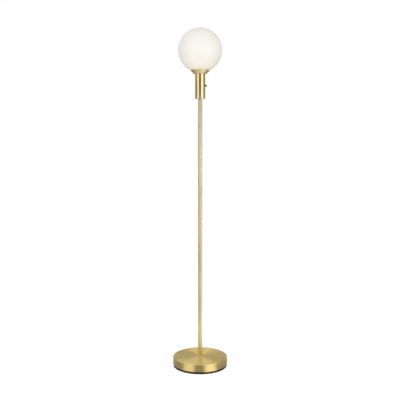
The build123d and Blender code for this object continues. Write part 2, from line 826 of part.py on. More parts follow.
# Opal globe: a blown shell with a short neck.
with BuildPart() as globe:
    with BuildSketch(Plane.XZ):
        with Locations((0, globe_height)):
            Circle(globe_radius)
        with Locations((0, neck_bottom)):
            Rectangle(neck_diameter, 2 * neck_depth, align=(Align.CENTER, Align.MIN))
        with Locations((0, globe_height)):
            Circle(globe_radius - globe_wall, mode=Mode.SUBTRACT)
        with Locations((0, neck_bottom)):
            Rectangle(
                2 * neck_inner_radius,
                3 * neck_depth,
                align=(Align.CENTER, Align.MIN),
                mode=Mode.SUBTRACT,
            )
        split(bisect_by=Plane.YZ)
    revolve(axis=Axis.Z)
    fillet(globe.faces().sort_by(Axis.Z)[0].edges(), neck_edge)
keep(globe, "globe")

# ============================================================================ lampholder


def thread_ridges(radius, bottom, pitch, count):
    """Rounded ridges around a turned piece, one for each turn of its thread."""
    with BuildSketch(Plane.XZ) as ridges:
        for turn in range(count):
            with Locations((radius, bottom + (turn + 0.5) * pitch)):
                Circle(thread_ridge)
    return ridges.sketch


with BuildPart() as holder_cap:
    with BuildSketch(Plane.XY.offset(holder_bottom)):
        Circle(skirt_radius)
    extrude(amount=-holder_cap_thickness)
    fillet(holder_cap.faces().sort_by(Axis.Z)[0].edges(), holder_cap_edge)
    with BuildSketch(Plane.XY.offset(holder_bottom)):
        with Locations((-holder_wire_x, 0)):
            with GridLocations(1, 2 * holder_wire_y, 1, 2):
                Circle(wire_hole)
    extrude(amount=-holder_cap_thickness, mode=Mode.SUBTRACT)
keep(holder_cap, "holder_cap")

collar_radius = collar_diameter / 2
ridges_bottom = skirt_top - skirt_lip - skirt_thread_count * skirt_thread_pitch
with BuildPart() as holder_shell:
    revolve(
        half_section(
            (skirt_bore, holder_bottom),
            (skirt_radius, holder_bottom),
            (skirt_radius, housing_top - collar_thickness),
            (collar_radius, housing_top - collar_thickness),
            (collar_radius, housing_top),
            (skirt_radius, housing_top),
            (skirt_radius, skirt_top),
            (bulb_neck_diameter / 2 + hole_clearance, skirt_top),
            (bulb_neck_diameter / 2 + hole_clearance, skirt_top - skirt_lip),
            (skirt_bore, skirt_top - skirt_lip),
        ),
        axis=Axis.Z,
    )
    skirt_ridges = thread_ridges(
        skirt_radius, ridges_bottom, skirt_thread_pitch, skirt_thread_count
    )
    revolve(skirt_ridges, axis=Axis.Z)
keep(holder_shell, "holder_shell")

# Insulating core: a thick base with the wire holes, and a tube around the screw shell.
core_tube_radius = core_bore + core_tube_wall
contact_screw_end = holder_wire_x + wire_radius + seat_clearance
contact_screw_head = sqrt(core_radius**2 - (holder_wire_y + small_thread) ** 2)
with BuildPart() as holder_core:
    revolve(
        half_section(
            (0, holder_bottom),
            (core_radius, holder_bottom),
            (core_radius, core_top),
            (core_tube_radius, core_top),
            (core_tube_radius, screw_shell_top),
            (core_bore, screw_shell_top),
            (core_bore, core_top),
            (0, core_top),
        ),
        axis=Axis.Z,
    )
    with BuildSketch(Plane.XY.offset(holder_bottom)):
        with Locations((-holder_wire_x, 0)):
            with GridLocations(1, 2 * holder_wire_y, 1, 2):
                Circle(wire_hole)
    extrude(amount=wire_grip + wire_clearance, mode=Mode.SUBTRACT)
    with BuildSketch(Plane.left):
        with Locations((0, holder_bottom + contact_screw_rise)):
            with GridLocations(2 * holder_wire_y, 1, 2, 1):
                Circle(small_thread)
    extrude(amount=core_radius, mode=Mode.SUBTRACT)
keep(holder_core, "holder_core")

with BuildPart() as contact_screws:
    with BuildSketch(Plane.left.offset(contact_screw_end)):
        with Locations((0, holder_bottom + contact_screw_rise)):
            with GridLocations(2 * holder_wire_y, 1, 2, 1):
                Circle(small_screw_diameter / 2)
    extrude(amount=contact_screw_head - contact_screw_end)
keep(contact_screws, "contact_screws")

with BuildPart() as screw_shell:
    with BuildSketch(Plane.XY.offset(core_top)):
        Circle(screw_shell_radius)
        Circle(screw_shell_radius - screw_shell_wall, mode=Mode.SUBTRACT)
    extrude(amount=screw_shell_length)
keep(screw_shell, "screw_shell")

with BuildPart() as centre_contact:
    with BuildSketch(Plane.XY.offset(core_top)):
        Circle(contact_diameter / 2)
    extrude(amount=contact_height)
    fillet(centre_contact.edges().sort_by(Axis.Z)[-1], contact_height / 3)
keep(centre_contact, "centre_contact")

# Shade ring: it clamps the spring ring and the cup's floor down on the lampholder's collar.
with BuildPart() as shade_ring:
    with BuildSketch(Plane.XY.offset(shade_ring_bottom)):
        Circle(shade_ring_diameter / 2)
        Circle(skirt_radius + thread_ridge + thread_clearance, mode=Mode.SUBTRACT)
        with PolarLocations(shade_ring_diameter / 2, shade_ring_flute_count):
            Circle(shade_ring_flute_diameter / 2, mode=Mode.SUBTRACT)
    extrude(amount=shade_ring_height)
keep(shade_ring, "shade_ring")

# ================================================================================== bulb
bulb_cap_radius = bulb_cap_diameter / 2
bulb_neck_radius = bulb_neck_diameter / 2
with BuildPart() as bulb_contact:
    with BuildSketch(Plane.XY.offset(bulb_tip_bottom)):
        Circle(bulb_tip_diameter / 2)
    extrude(amount=bulb_tip_height)
    fillet(bulb_contact.edges().sort_by(Axis.Z)[0], bulb_tip_height / 2)
keep(bulb_contact, "bulb_contact")

ridges_start = bulb_cap_top - bulb_thread_count * bulb_thread_pitch
with BuildPart() as bulb_cap:
    revolve(
        half_section(
            (0, bulb_cap_bottom),
            (bulb_tip_diameter / 2, bulb_cap_bottom),
            (bulb_cap_radius, ridges_start - bulb_thread_pitch / 2),
            (bulb_cap_radius, bulb_cap_top),
            (0, bulb_cap_top),
        ),
        axis=Axis.Z,
    )
    cap_ridges = thread_ridges(
        bulb_cap_radius, ridges_start, bulb_thread_pitch, bulb_thread_count
    )
    revolve(cap_ridges, axis=Axis.Z)
keep(bulb_cap, "bulb_cap")

with BuildPart() as bulb_collar:
    revolve(
        half_section(
            (0, bulb_cap_top),
            (bulb_neck_radius, bulb_cap_top),
            (bulb_neck_radius, skirt_top + hole_clearance),
            (bulb_seam_radius, bulb_collar_top),
            (0, bulb_collar_top),
        ),
        axis=Axis.Z,
    )
keep(bulb_collar, "bulb_collar")

with BuildPart() as bulb_dome:
    with BuildSketch(Plane.XZ):
        with Locations((0, bulb_ball_height)):
            Circle(bulb_ball_radius)
            Circle(bulb_ball_radius - bulb_wall, mode=Mode.SUBTRACT)
        with Locations((0, bulb_collar_top)):
            Rectangle(
                bulb_ball_diameter,
                bulb_ball_diameter,
                align=(Align.CENTER, Align.MAX),
                mode=Mode.SUBTRACT,
            )
        split(bisect_by=Plane.YZ)
    revolve(axis=Axis.Z)
keep(bulb_dome, "bulb_dome")

# ================================================================================ wiring
# Limp single wires. Inside the pole they run straight between the ends of the threaded pieces.
terminal_side = terminal_pitch / 2
pole_side = wire_spacing / 2
wire_start = terminal_distance + wire_grip
switch_wire_y = switch_terminal_spacing / 2
switch_wire_end = switch_back + wire_grip
holder_wire_end = holder_bottom + wire_grip
wire_routes = {
    "neutral_wire": [
        (-terminal_side, wire_start, wire_height),
        (-terminal_side, 44, wire_height),
        (-pole_side, 26, wire_height),
        (-pole_side, 0, wire_height),
        (-pole_side, 0, nipple_top + 5),
        (-11, -1, nipple_top + 25),
        (-11, -2, nipple_top + 48),
        (-holder_wire_x, -holder_wire_y, holder_bottom - 9),
        (-holder_wire_x, -holder_wire_y, holder_wire_end),
    ],
    "live_wire": [
        (terminal_side, wire_start, wire_height),
        (terminal_side, 44, wire_height),
        (pole_side, 26, wire_height),
        (pole_side, 0, wire_height),
        (pole_side, 0, nipple_top + 5),
        (-5, -switch_wire_y, nipple_top + 27),
        (-5, -switch_wire_y, switch_height),
        (switch_wire_end, -switch_wire_y, switch_height),
    ],
    "switched_wire": [
        (switch_wire_end, switch_wire_y, switch_height),
        (-5, switch_wire_y, switch_height),
        (-5, holder_wire_y, holder_bottom - 9),
        (-5, holder_wire_y, holder_wire_end),
    ],
}


def bend_radii(points):
    """Radius of each bend: a share of its shorter run, over the tangent of half its turn."""
    runs = [Vector(end) - Vector(start) for start, end in zip(points, points[1:])]
    radii = []
    for run, next_run in zip(runs, runs[1:]):
        shorter = min(run.length, next_run.length)
        half_turn = radians(run.get_angle(next_run)) / 2
        radii.append(share_of_run * shorter / tan(half_turn))
    return radii


for wire_name, wire_points in wire_routes.items():
    bends = bend_radii(wire_points)
    with BuildPart() as wire:
        with BuildLine():
            route = FilletPolyline(*wire_points, radius=bends)
        with BuildSketch(Plane(route @ 0, z_dir=route % 0)):
            Circle(wire_radius)
        sweep()
    keep(wire, wire_name)
    whole = pi * wire_radius**2 * route.length
    print(wire_name, "bends", [round(radius, 1) for radius in bends])
    print(wire_name, "volume over section times length", round(wire.part.volume / whole, 4))
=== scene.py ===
import json
from math import asin, cos, pi, radians, sin, sqrt

import bmesh
import bpy
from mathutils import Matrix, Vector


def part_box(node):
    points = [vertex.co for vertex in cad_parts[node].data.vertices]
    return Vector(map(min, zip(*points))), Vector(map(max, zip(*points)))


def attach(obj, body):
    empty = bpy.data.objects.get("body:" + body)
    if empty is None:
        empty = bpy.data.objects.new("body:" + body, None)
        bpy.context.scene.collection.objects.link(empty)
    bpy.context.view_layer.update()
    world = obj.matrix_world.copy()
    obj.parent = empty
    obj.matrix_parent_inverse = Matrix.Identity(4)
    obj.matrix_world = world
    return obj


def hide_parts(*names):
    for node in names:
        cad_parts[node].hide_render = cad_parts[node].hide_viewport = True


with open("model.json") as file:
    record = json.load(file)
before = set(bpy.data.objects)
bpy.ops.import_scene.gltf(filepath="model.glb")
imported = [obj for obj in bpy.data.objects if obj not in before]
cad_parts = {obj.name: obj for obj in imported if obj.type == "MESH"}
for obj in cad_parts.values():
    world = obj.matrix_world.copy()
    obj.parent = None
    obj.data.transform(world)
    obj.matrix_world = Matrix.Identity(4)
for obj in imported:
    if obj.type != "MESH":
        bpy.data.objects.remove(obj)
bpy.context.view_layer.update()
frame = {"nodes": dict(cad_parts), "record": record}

# Globe floor lamp. Metres, +Z up. The knob points along +X and the camera looks along +Y.
MM = 0.001

# ------------------------------------------------------------------- camera and lights
IMAGE_SIZE = 400
FOCAL_PIXELS = 625.0
AXIS_PIXEL = 200.15  # where the pole's axis stands across the picture
SENSOR = 36.0
CAMERA_DISTANCE = 2.83
CAMERA_HEIGHT = 1.018
CAMERA_TILT = 5.0
LIGHT_HEIGHT = 1.3

# -------------------------------------------------------------------------------- room
# Plain grey light falls on the lamp from all round.
ROOM_LEVEL = 0.64
# In the metal the room is dark and slightly warm, paler behind the lamp and bright overhead.
ROOM_DARK = 0.2
ROOM_BACK = 0.64
ROOM_TOP = 1.2
ROOM_DARK_TONE = (1.04, 0.91, 0.52)
ROOM_BACK_TONE = (0.99, 0.93, 0.72)
CEILING = (-0.18, 0.05, 0.97)  # the direction in which it is brightest
# Cosines from straight behind and from CEILING, where each starts and is full.
ROOM_BACK_FADE = (0.1, 0.6)
CEILING_FADE = (0.15, 0.9)

# ------------------------------------------------------------------------------- floor
FLOOR_REACH = 30.0
# To the camera it glows and is pale paper too, which takes the lamp's shadow.
FLOOR_GLOW = 0.76
FLOOR_PAPER = 0.46
# For the light that it throws back at the lamp it is plain grey.
FLOOR_PLAIN = 0.7
# In the metal it is darker: levels before, beside and behind the lamp, and cosines of the fades.
FLOOR_FRONT = 0.45
FLOOR_SIDES = 0.42
FLOOR_BACK = 0.45
FLOOR_FRONT_FADE = (0.8, 0.97)
FLOOR_BACK_FADE = (0.0, 0.7)
# There it has pools of light too: angle from the camera's side towards +X, level, and the
# cosines where the pool starts and is full. There are near ones, far ones, and ones behind and
# beside the lamp, which brighten the outer thirds of the cup.
NEAR_POOLS = ((-31.0, 1.25, 0.915, 1.0), (27.0, 1.75, 0.915, 1.0))
FAR_POOLS = ((-48.0, 1.25, 0.85, 0.97), (60.0, 1.75, 0.75, 0.96))
BACK_POOLS = ((-134.0, 1.05, 0.6, 0.96), (130.0, 1.1, 0.6, 0.96))
# Distances from the lamp's axis, over which near pools turn into far ones, the ones behind
# start and end, and the whole floor gets dimmer by a share.
NEAR_TO_FAR = (0.235, 0.32)
BACK_START = (0.28, 0.6)
BACK_END = (0.8, 1.6)
DIMMING_FADE = (0.2, 1.3)
DIMMING = 0.35

# --------------------------------------------------------------------- brushing and mesh work
# Brushing lines: how close they are across, and how fast they change along and round the lamp.
HAIRLINES = (2600.0, 22.0, 1.6)
STREAKS = (420.0, 5.0, 0.9)
QUARTER_TURN = 0.25  # of the highlights, where the lines run round
SHARP_ANGLE = 32.0  # edges sharper than this stay crisp
SAME_PLACE = 1e-7
SLIVER = 2e-6


# ------------------------------------------------------------------- sizes of the shown pieces
def low(node):
    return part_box(node)[0]


def high(node):
    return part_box(node)[1]


BASE_RADIUS = high("base_cover").x
BASE_TOP = high("base_cover").z
COVER_BOTTOM = low("base_cover").z
COVER_WALL = 1 * MM
SHOULDER = 4 * MM
STUD_HOLE = 5.25 * MM
CORD_HEIGHT = (low("cord_grommet").z + high("cord_grommet").z) / 2
CORD_BORE = 3.5 * MM
GROMMET_NECK = 5 * MM
GROMMET_HOLE = GROMMET_NECK + 0.25 * MM
GROMMET_LIP = high("cord_grommet").x
GROMMET_LIP_THICKNESS = 1.6 * MM
GROMMET_TAIL = low("cord_grommet").y
GROMMET_BACK = GROMMET_TAIL + 4 * MM
GROMMET_SEAT = BASE_RADIUS + 0.05 * MM
GROMMET_END = GROMMET_SEAT + GROMMET_LIP_THICKNESS
POLE_TUBES = ("pole_lower_tube", "pole_middle_tube", "pole_upper_tube")
POLE_RADIUS = high("pole_lower_tube").x
POLE_TOP = high("pole_upper_tube").z
POLE_WALL = 1.2 * MM
POLE_EDGE = 0.25 * MM
HOUSING_RADIUS = high("housing").x
HOUSING_TOP = high("housing").z
HOUSING_WALL = 1.2 * MM
SWITCH_HEIGHT = (low("switch_ring_nut").z + high("switch_ring_nut").z) / 2
SWITCH_HOLE = 3.75 * MM
RING_NUT_START = low("switch_ring_nut").x
RING_NUT_END = high("switch_ring_nut").x
RING_NUT_RADIUS = high("switch_ring_nut").y
RING_NUT_BORE = 3.55 * MM
KNURL_WAVES = 24
KNURL_DEPTH = 0.12 * MM
KNURL_START = RING_NUT_RADIUS - 0.5 * MM
KNOB_START = low("switch_knob").x
KNOB_END = high("switch_knob").x
KNOB_SKIRT = high("switch_knob").y
KNOB_TIP = 3.9 * MM
KNOB_FACE = KNOB_TIP - 1.2 * MM
KNOB_BORE = 1.83 * MM
KNOB_BORE_END = KNOB_START + 3.2 * MM
KNOB_STEPS = 12
FLUTES = 14
FLUTE_START = KNOB_START + 0.9 * MM
FLUTE_RUN = 0.4 * MM
FLUTE_DEPTH = 0.5 * MM
FLUTE_FULLNESS = 0.7
CUP_RIM_RADIUS = high("globe_cup").x
CUP_RIM_HEIGHT = high("globe_cup").z
CUP_RIM_EDGE = 0.45 * MM
CUP_FLOOR = HOUSING_TOP + 1.5 * MM
CUP_WALL = 1.2 * MM
CUP_CURVE = 95 * MM
CUP_HOLE = 14.25 * MM
CUP_STEPS = 22
# Heights over which the globe's painted warm glow above the cup fades out.
PAINTED_GLOW_HEIGHTS = (CUP_RIM_HEIGHT - 10 * MM, CUP_RIM_HEIGHT + 60 * MM)
SPIGOT = HOUSING_RADIUS - HOUSING_WALL - 0.03 * MM
SPIGOT_BORE = SPIGOT - 1.2 * MM
SPIGOT_END = HOUSING_TOP - 6 * MM
GLOBE_TOP = high("globe").z
GLOBE_BOTTOM = low("globe").z
GLOBE_RADIUS = high("globe").x
GLOBE_WALL = 3 * MM
GLOBE_NECK = 29 * MM
GLOBE_STEPS = 96


# ============================================================================ shader maths
class Value:
    """A number, colour or vector on a shader's wire, to be used in Python expressions."""

    def __init__(self, finish, socket):
        self.finish = finish
        self.socket = socket

    def __add__(self, other):
        return self.finish.maths("ADD", self, other)

    def __radd__(self, other):
        return self.finish.maths("ADD", other, self)

    def __sub__(self, other):
        return self.finish.maths("SUBTRACT", self, other)

    def __rsub__(self, other):
        return self.finish.maths("SUBTRACT", other, self)

    def __mul__(self, other):
        return self.finish.maths("MULTIPLY", self, other)

    def __rmul__(self, other):
        return self.finish.maths("MULTIPLY", other, self)

    def __truediv__(self, other):
        return self.finish.maths("DIVIDE", self, other)

    def __pow__(self, other):
        return self.finish.maths("POWER", self, other)


class Finish:
    """The nodes of a material or of the room's light, added one by one."""

    def __init__(self, owner):
        self.owner = owner
        owner.use_nodes = True
        self.tree = owner.node_tree
        self.tree.nodes.clear()

    def node(self, kind, settings=None, values=None, out=0):
        """Add a node with its settings and the values of its sockets, and give one output.
        Colours are given as three numbers."""
        made = self.tree.nodes.new(kind)
        for key, setting in (settings or {}).items():
            setattr(made, key, setting)
        for key, value in (values or {}).items():
            socket = made.inputs[key]
            if isinstance(value, Value):
                self.tree.links.new(socket, value.socket)
            elif socket.type == "RGBA":
                socket.default_value = (*value, 1.0)
            else:
                socket.default_value = value
        return Value(self, made.outputs[out])

    def maths(self, operation, first, second):
        return self.node("ShaderNodeMath", {"operation": operation}, {0: first, 1: second})

    def step(self, value, start, full):
        """0 below start and 1 above full, with a soft change between them."""
        return self.node(
            "ShaderNodeMapRange",
            {"interpolation_type": "SMOOTHSTEP"},
            {"Value": value, "From Min": start, "From Max": full},
        )

    def mix(self, share, first, second):
        """Colour between two colours."""
        return self.node(
            "ShaderNodeMix",
            {"data_type": "RGBA"},
            {0: share, 6: first, 7: second},
            out=2,
        )

    def tint(self, colour, by):
        """Colour multiplied by another colour."""
        return self.node(
            "ShaderNodeMix",
            {"data_type": "RGBA", "blend_type": "MULTIPLY"},
            {0: 1.0, 6: colour, 7: by},
            out=2,
        )

    def place(self):
        """The place on the piece, in the lamp's frame."""
        return self.node("ShaderNodeTexCoord", out="Object")

    def split(self, place):
        """The three numbers of a place."""
        kind = "ShaderNodeSeparateXYZ"
        return [self.node(kind, values={0: place}, out=axis) for axis in range(3)]

    def vector(self, x, y, z):
        return self.node("ShaderNodeCombineXYZ", values={0: x, 1: y, 2: z})

    def noise(self, place, scale=1.0, detail=3.0, roughness=0.5):
        """Soft cloudy value around a half."""
        return self.node(
            "ShaderNodeTexNoise",
            values={"Vector": place, "Scale": scale, "Detail": detail, "Roughness": roughness},
        )

    def bump(self, height, depth):
        return self.node(
            "ShaderNodeBump",
            values={"Height": height, "Distance": depth, "Strength": 1.0},
        )

    def sight(self):
        """1 for what the camera sees, also through glass, and 1 for what a gloss mirrors."""
        kind = "ShaderNodeLightPath"
        camera = self.node(kind, out="Is Camera Ray")
        through = self.node(kind, out="Is Transmission Ray")
        glossy = self.node(kind, out="Is Glossy Ray")
        return self.maths("MAXIMUM", camera, through), glossy

    def end(self, surface):
        """Give the surface to the output, and the material or room back."""
        room = isinstance(self.owner, bpy.types.World)
        made = self.tree.nodes.new("ShaderNodeOutputWorld" if room else "ShaderNodeOutputMaterial")
        self.tree.links.new(made.inputs["Surface"], surface.socket)
        return self.owner

    def skin(self, values):
        """End with a piece's surface, from the values of its sockets."""
        return self.end(self.node("ShaderNodeBsdfPrincipled", values=values))


def grey(level):
    return (level, level, level)


WHITE = grey(1.0)
BLACK = grey(0.0)


def swing(noise, share):
    """A noise's ups and downs around its middle, in a share."""
    return (noise - 0.5) * share


# ================================================================================ finishes
def brushing(finish, place, lines, across, along, around):
    """Place for a noise that runs in lines "round" the lamp's axis or "along" it."""
    x, y, z = finish.split(place)
    if lines == "along":
        return finish.vector(x * across, y * across, z * along)
    radius = (x * x + y * y) ** 0.5 + 0.1 * MM  # never 0
    return finish.vector((radius + z) * across, x / radius * around, y / radius * around)


def brass(name, light, dark, lines, rough, stretch, depth, painted_foot_reflection=WHITE):
    """Brass with fine brushing lines. stretch draws the highlights out, and the low tint is a
    painted reflection at the floor, which fades out towards the lamp's head: it brightens and
    warms the pole's foot in place of the bright base top that it mirrors."""
    finish = Finish(bpy.data.materials.new(name))
    place = finish.place()
    hair = finish.noise(brushing(finish, place, lines, *HAIRLINES), detail=2.0, roughness=0.6)
    streaks = finish.noise(brushing(finish, place, lines, *STREAKS))
    clouds = finish.noise(place, scale=24.0, detail=4.0, roughness=0.6)
    smudge = finish.step(finish.noise(place, scale=9.0, roughness=0.6), start=0.52, full=0.72)
    tone = finish.step(hair * 0.45 + streaks * 0.35 + clouds * 0.2, start=0.3, full=0.7)
    height = finish.split(place)[2]
    # Painted reflection: the tint brightens and warms the piece towards the floor, standing in for
    # the base top mirrored in the pole's foot.
    painted_reflection_tint = finish.mix(finish.step(height, 0.0, HOUSING_TOP) ** 0.5, painted_foot_reflection, WHITE)
    return finish.skin(
        {
            "Base Color": finish.tint(finish.mix(tone, dark, light), painted_reflection_tint),
            "Metallic": 1.0,
            "Roughness": rough * (0.95 + swing(hair, 0.25) + swing(clouds, 0.25) + smudge * 0.1),
            "Anisotropic": stretch,
            "Anisotropic Rotation": QUARTER_TURN if lines == "round" else 0.0,
            "Normal": finish.bump(hair * 0.7 + streaks * 0.3, depth),
        }
    )


def opal_glass(name, light, dark, rough, painted_cup_glow=BLACK):
    """Blown opal glass with a satin skin. Above the cup it has a painted warm glow: an emission in
    place of the brass cup's light reflected into the glass.
    """
    finish = Finish(bpy.data.materials.new(name))
    place = finish.place()
    clouds = finish.noise(place, scale=14.0, detail=4.0, roughness=0.55)
    grain = finish.noise(place, scale=900.0, detail=2.0)
    waves = finish.noise(place, scale=11.0, detail=2.0, roughness=0.4)
    height = finish.split(place)[2]
    # Painted glow: emission near the cup, in place of the cup's warm reflected light.
    painted_glow_share = 1 - finish.step(height, *PAINTED_GLOW_HEIGHTS)
    return finish.skin(
        {
            "Base Color": finish.mix(finish.step(clouds, start=0.3, full=0.7), dark, light),
            "Roughness": rough + swing(grain, 0.08) + swing(clouds, 0.06),
            "IOR": 1.5,
            "Specular IOR Level": 0.35,
            "Coat Weight": 0.08,
            "Coat Roughness": 0.25,
            "Emission Color": finish.mix(painted_glow_share, BLACK, painted_cup_glow),
            "Emission Strength": 1.0,
            "Normal": finish.bump(waves * 6.0 + grain * 0.05, depth=0.4 * MM),
        }
    )


def moulded(name, light, dark, rough, sheen=0.5):
    """Moulded plastic, rubber or ceramic with a fine skin."""
    finish = Finish(bpy.data.materials.new(name))
    place = finish.place()
    clouds = finish.noise(place, scale=60.0, detail=4.0, roughness=0.6)
    grain = finish.noise(place, scale=1400.0, roughness=0.6)
    tone = finish.step(clouds * 0.6 + grain * 0.4, start=0.3, full=0.7)
    return finish.skin(
        {
            "Base Color": finish.mix(tone, dark, light),
            "Roughness": rough + swing(grain, 0.16) + swing(clouds, 0.1),
            "Specular IOR Level": sheen,
            "Normal": finish.bump(grain, depth=0.03 * MM),
        }
    )


def plated(name, light, dark, rough):
    """Plated or bare metal with a faint crystal pattern and turning marks."""
    finish = Finish(bpy.data.materials.new(name))
    place = finish.place()
    x, y, z = finish.split(place)
    spots = finish.noise(place, scale=260.0, detail=4.0, roughness=0.65)
    marks = finish.noise(finish.vector(x * 90.0, y * 90.0, z * 3800.0), detail=2.0)
    tone = finish.step(spots * 0.7 + marks * 0.3, start=0.35, full=0.65)
    return finish.skin(
        {
            "Base Color": finish.mix(tone, dark, light),
            "Metallic": 1.0,
            "Roughness": rough + swing(spots, 0.15) + swing(marks, 0.1),
            "Normal": finish.bump(spots * 0.4 + marks * 0.6, depth=0.02 * MM),
        }
    )


def cast_iron(name, light, dark):
    """Painted casting with a coarse sand skin, worn on its high places."""
    finish = Finish(bpy.data.materials.new(name))
    place = finish.place()
    sand = finish.noise(place, scale=700.0, detail=5.0, roughness=0.65)
    lumps = finish.noise(place, scale=90.0, detail=4.0, roughness=0.6)
    worn = finish.step(sand * 0.5 + lumps * 0.5, start=0.55, full=0.7)
    return finish.skin(
        {
            "Base Color": finish.mix(worn, dark, light),
            "Roughness": 0.55 + worn * 0.2,
            "Normal": finish.bump(sand * 0.5 + lumps, depth=0.4 * MM),
        }
    )


def insulation(name, light, dark):
    """Smooth wire insulation with a faint drawn sheen."""
    finish = Finish(bpy.data.materials.new(name))
    x, y, z = finish.split(finish.place())
    drawn = finish.noise(finish.vector(x * 1800.0, y * 1800.0, z * 60.0), detail=2.0)
    return finish.skin(
        {
            "Base Color": finish.mix(drawn, dark, light),
            "Roughness": 0.32 + drawn * 0.14,
            "Coat Weight": 0.2,
            "Normal": finish.bump(drawn, depth=0.02 * MM),
        }
    )


def make_finishes():
    """Every material of the lamp, by the name of its slot."""
    looks = {
        "brushed_brass": (brass, dict(
            light=(0.71, 0.56, 0.245), dark=(0.635, 0.485, 0.19),
            lines="round", rough=0.35, stretch=1.0, depth=0.01 * MM,
        )),
        # The pole's tint at the floor is a painted reflection of the bright base top.
        "satin_brass": (brass, dict(
            light=(0.72, 0.64, 0.475), dark=(0.64, 0.565, 0.405),
            lines="along", rough=0.44, stretch=0.5, depth=0.01 * MM, painted_foot_reflection=(1.16, 1.11, 0.72),
        )),
        "polished_brass": (brass, dict(
            light=(0.80, 0.68, 0.42), dark=(0.74, 0.61, 0.35),
            lines="round", rough=0.17, stretch=0.5, depth=0.002 * MM,
        )),
        "cup_brass": (brass, dict(
            light=(0.88, 0.73, 0.44), dark=(0.82, 0.66, 0.37),
            lines="round", rough=0.4, stretch=0.0, depth=0.004 * MM,
        )),
        "dark_brass": (brass, dict(
            light=(0.26, 0.20, 0.11), dark=(0.17, 0.13, 0.07),
            lines="round", rough=0.32, stretch=0.3, depth=0.01 * MM,
        )),
        "insert_brass": (plated, dict(
            light=(0.70, 0.52, 0.22), dark=(0.56, 0.40, 0.16), rough=0.32,
        )),
        "contact_brass": (plated, dict(
            light=(0.80, 0.62, 0.30), dark=(0.68, 0.50, 0.22), rough=0.22,
        )),
        "zinc_steel": (plated, dict(
            light=(0.66, 0.68, 0.70), dark=(0.50, 0.52, 0.55), rough=0.33,
        )),
        "spring_steel": (plated, dict(
            light=(0.62, 0.63, 0.64), dark=(0.48, 0.49, 0.50), rough=0.25,
        )),
        "bulb_nickel": (plated, dict(
            light=(0.78, 0.77, 0.74), dark=(0.64, 0.63, 0.60), rough=0.24,
        )),
        "cast_weight": (cast_iron, dict(
            light=(0.17, 0.17, 0.175), dark=(0.06, 0.06, 0.065),
        )),
        "black_plastic": (moulded, dict(
            light=(0.022, 0.016, 0.008), dark=(0.010, 0.007, 0.004), rough=0.6, sheen=0.2,
        )),
        "dark_plastic": (moulded, dict(
            light=(0.045, 0.045, 0.047), dark=(0.025, 0.025, 0.026), rough=0.42,
        )),
        "white_plastic": (moulded, dict(
            light=(0.84, 0.82, 0.77), dark=(0.78, 0.76, 0.70), rough=0.33,
        )),
        "white_ceramic": (moulded, dict(
            light=(0.88, 0.86, 0.81), dark=(0.82, 0.80, 0.75), rough=0.2,
        )),
        "foot_rubber": (moulded, dict(
            light=(0.040, 0.038, 0.036), dark=(0.022, 0.021, 0.020), rough=0.75,
        )),
        "clear_silicone": (moulded, dict(
            light=(0.74, 0.72, 0.66), dark=(0.66, 0.64, 0.58), rough=0.4,
        )),
        "bulb_white": (moulded, dict(
            light=(0.86, 0.85, 0.82), dark=(0.80, 0.79, 0.76), rough=0.35,
        )),
        "bulb_opal": (opal_glass, dict(
            light=(0.92, 0.90, 0.85), dark=(0.88, 0.86, 0.80), rough=0.3,
        )),
        # The globe's painted glow near the cup stands in for the brass cup's reflected light.
        "opal_glass": (opal_glass, dict(
            light=(0.93, 0.912, 0.85), dark=(0.905, 0.885, 0.815),
            rough=0.42, painted_cup_glow=(0.15, 0.085, 0.0),
        )),
        "brown_insulation": (insulation, dict(
            light=(0.17, 0.06, 0.025), dark=(0.11, 0.035, 0.014),
        )),
        "blue_insulation": (insulation, dict(
            light=(0.03, 0.10, 0.40), dark=(0.018, 0.06, 0.28),
        )),
    }
    return {slot: make(slot, **look) for slot, (make, look) in looks.items()}


# ============================================================================ turned pieces
def rounded(corners, steps=7):
    """Outline of (radius, height) points, from corners of (radius, height, rounding)."""
    outline = []
    for index, (r, h, rounding) in enumerate(corners):
        if not rounding:
            outline.append((r, h))
            continue
        # Directions from this corner to the ones before and after it, and half their angle.
        sides = []
        for other in (corners[index - 1], corners[(index + 1) % len(corners)]):
            run = sqrt((other[0] - r) ** 2 + (other[1] - h) ** 2)
            sides.append(((other[0] - r) / run, (other[1] - h) / run))
        (ar, ah), (br, bh) = sides
        half = asin(min(1.0, sqrt((ar - br) ** 2 + (ah - bh) ** 2) / 2))
        # The arc's centre, and its first and last points from there.
        reach = rounding / (sin(half) / cos(half))
        mr, mh = ar + br, ah + bh
        size = sqrt(mr * mr + mh * mh)
        cr = r + mr / size * rounding / sin(half)
        ch = h + mh / size * rounding / sin(half)
        first = (r + ar * reach - cr, h + ah * reach - ch)
        last = (r + br * reach - cr, h + bh * reach - ch)
        sweep = pi - 2 * half
        for step in range(steps + 1):
            share = step / steps
            a = sin((1 - share) * sweep) / sin(sweep)
            b = sin(share * sweep) / sin(sweep)
            outline.append((cr + first[0] * a + last[0] * b, ch + first[1] * a + last[1] * b))
    return outline


# A turned piece's axis: the lamp's own, the switch's or the cord outlet's.
LAID = {
    "Z": lambda a, b, h: (a, b, h),
    "X": lambda a, b, h: (h, a, SWITCH_HEIGHT + b),
    "Y": lambda a, b, h: (-a, h, CORD_HEIGHT + b),
}


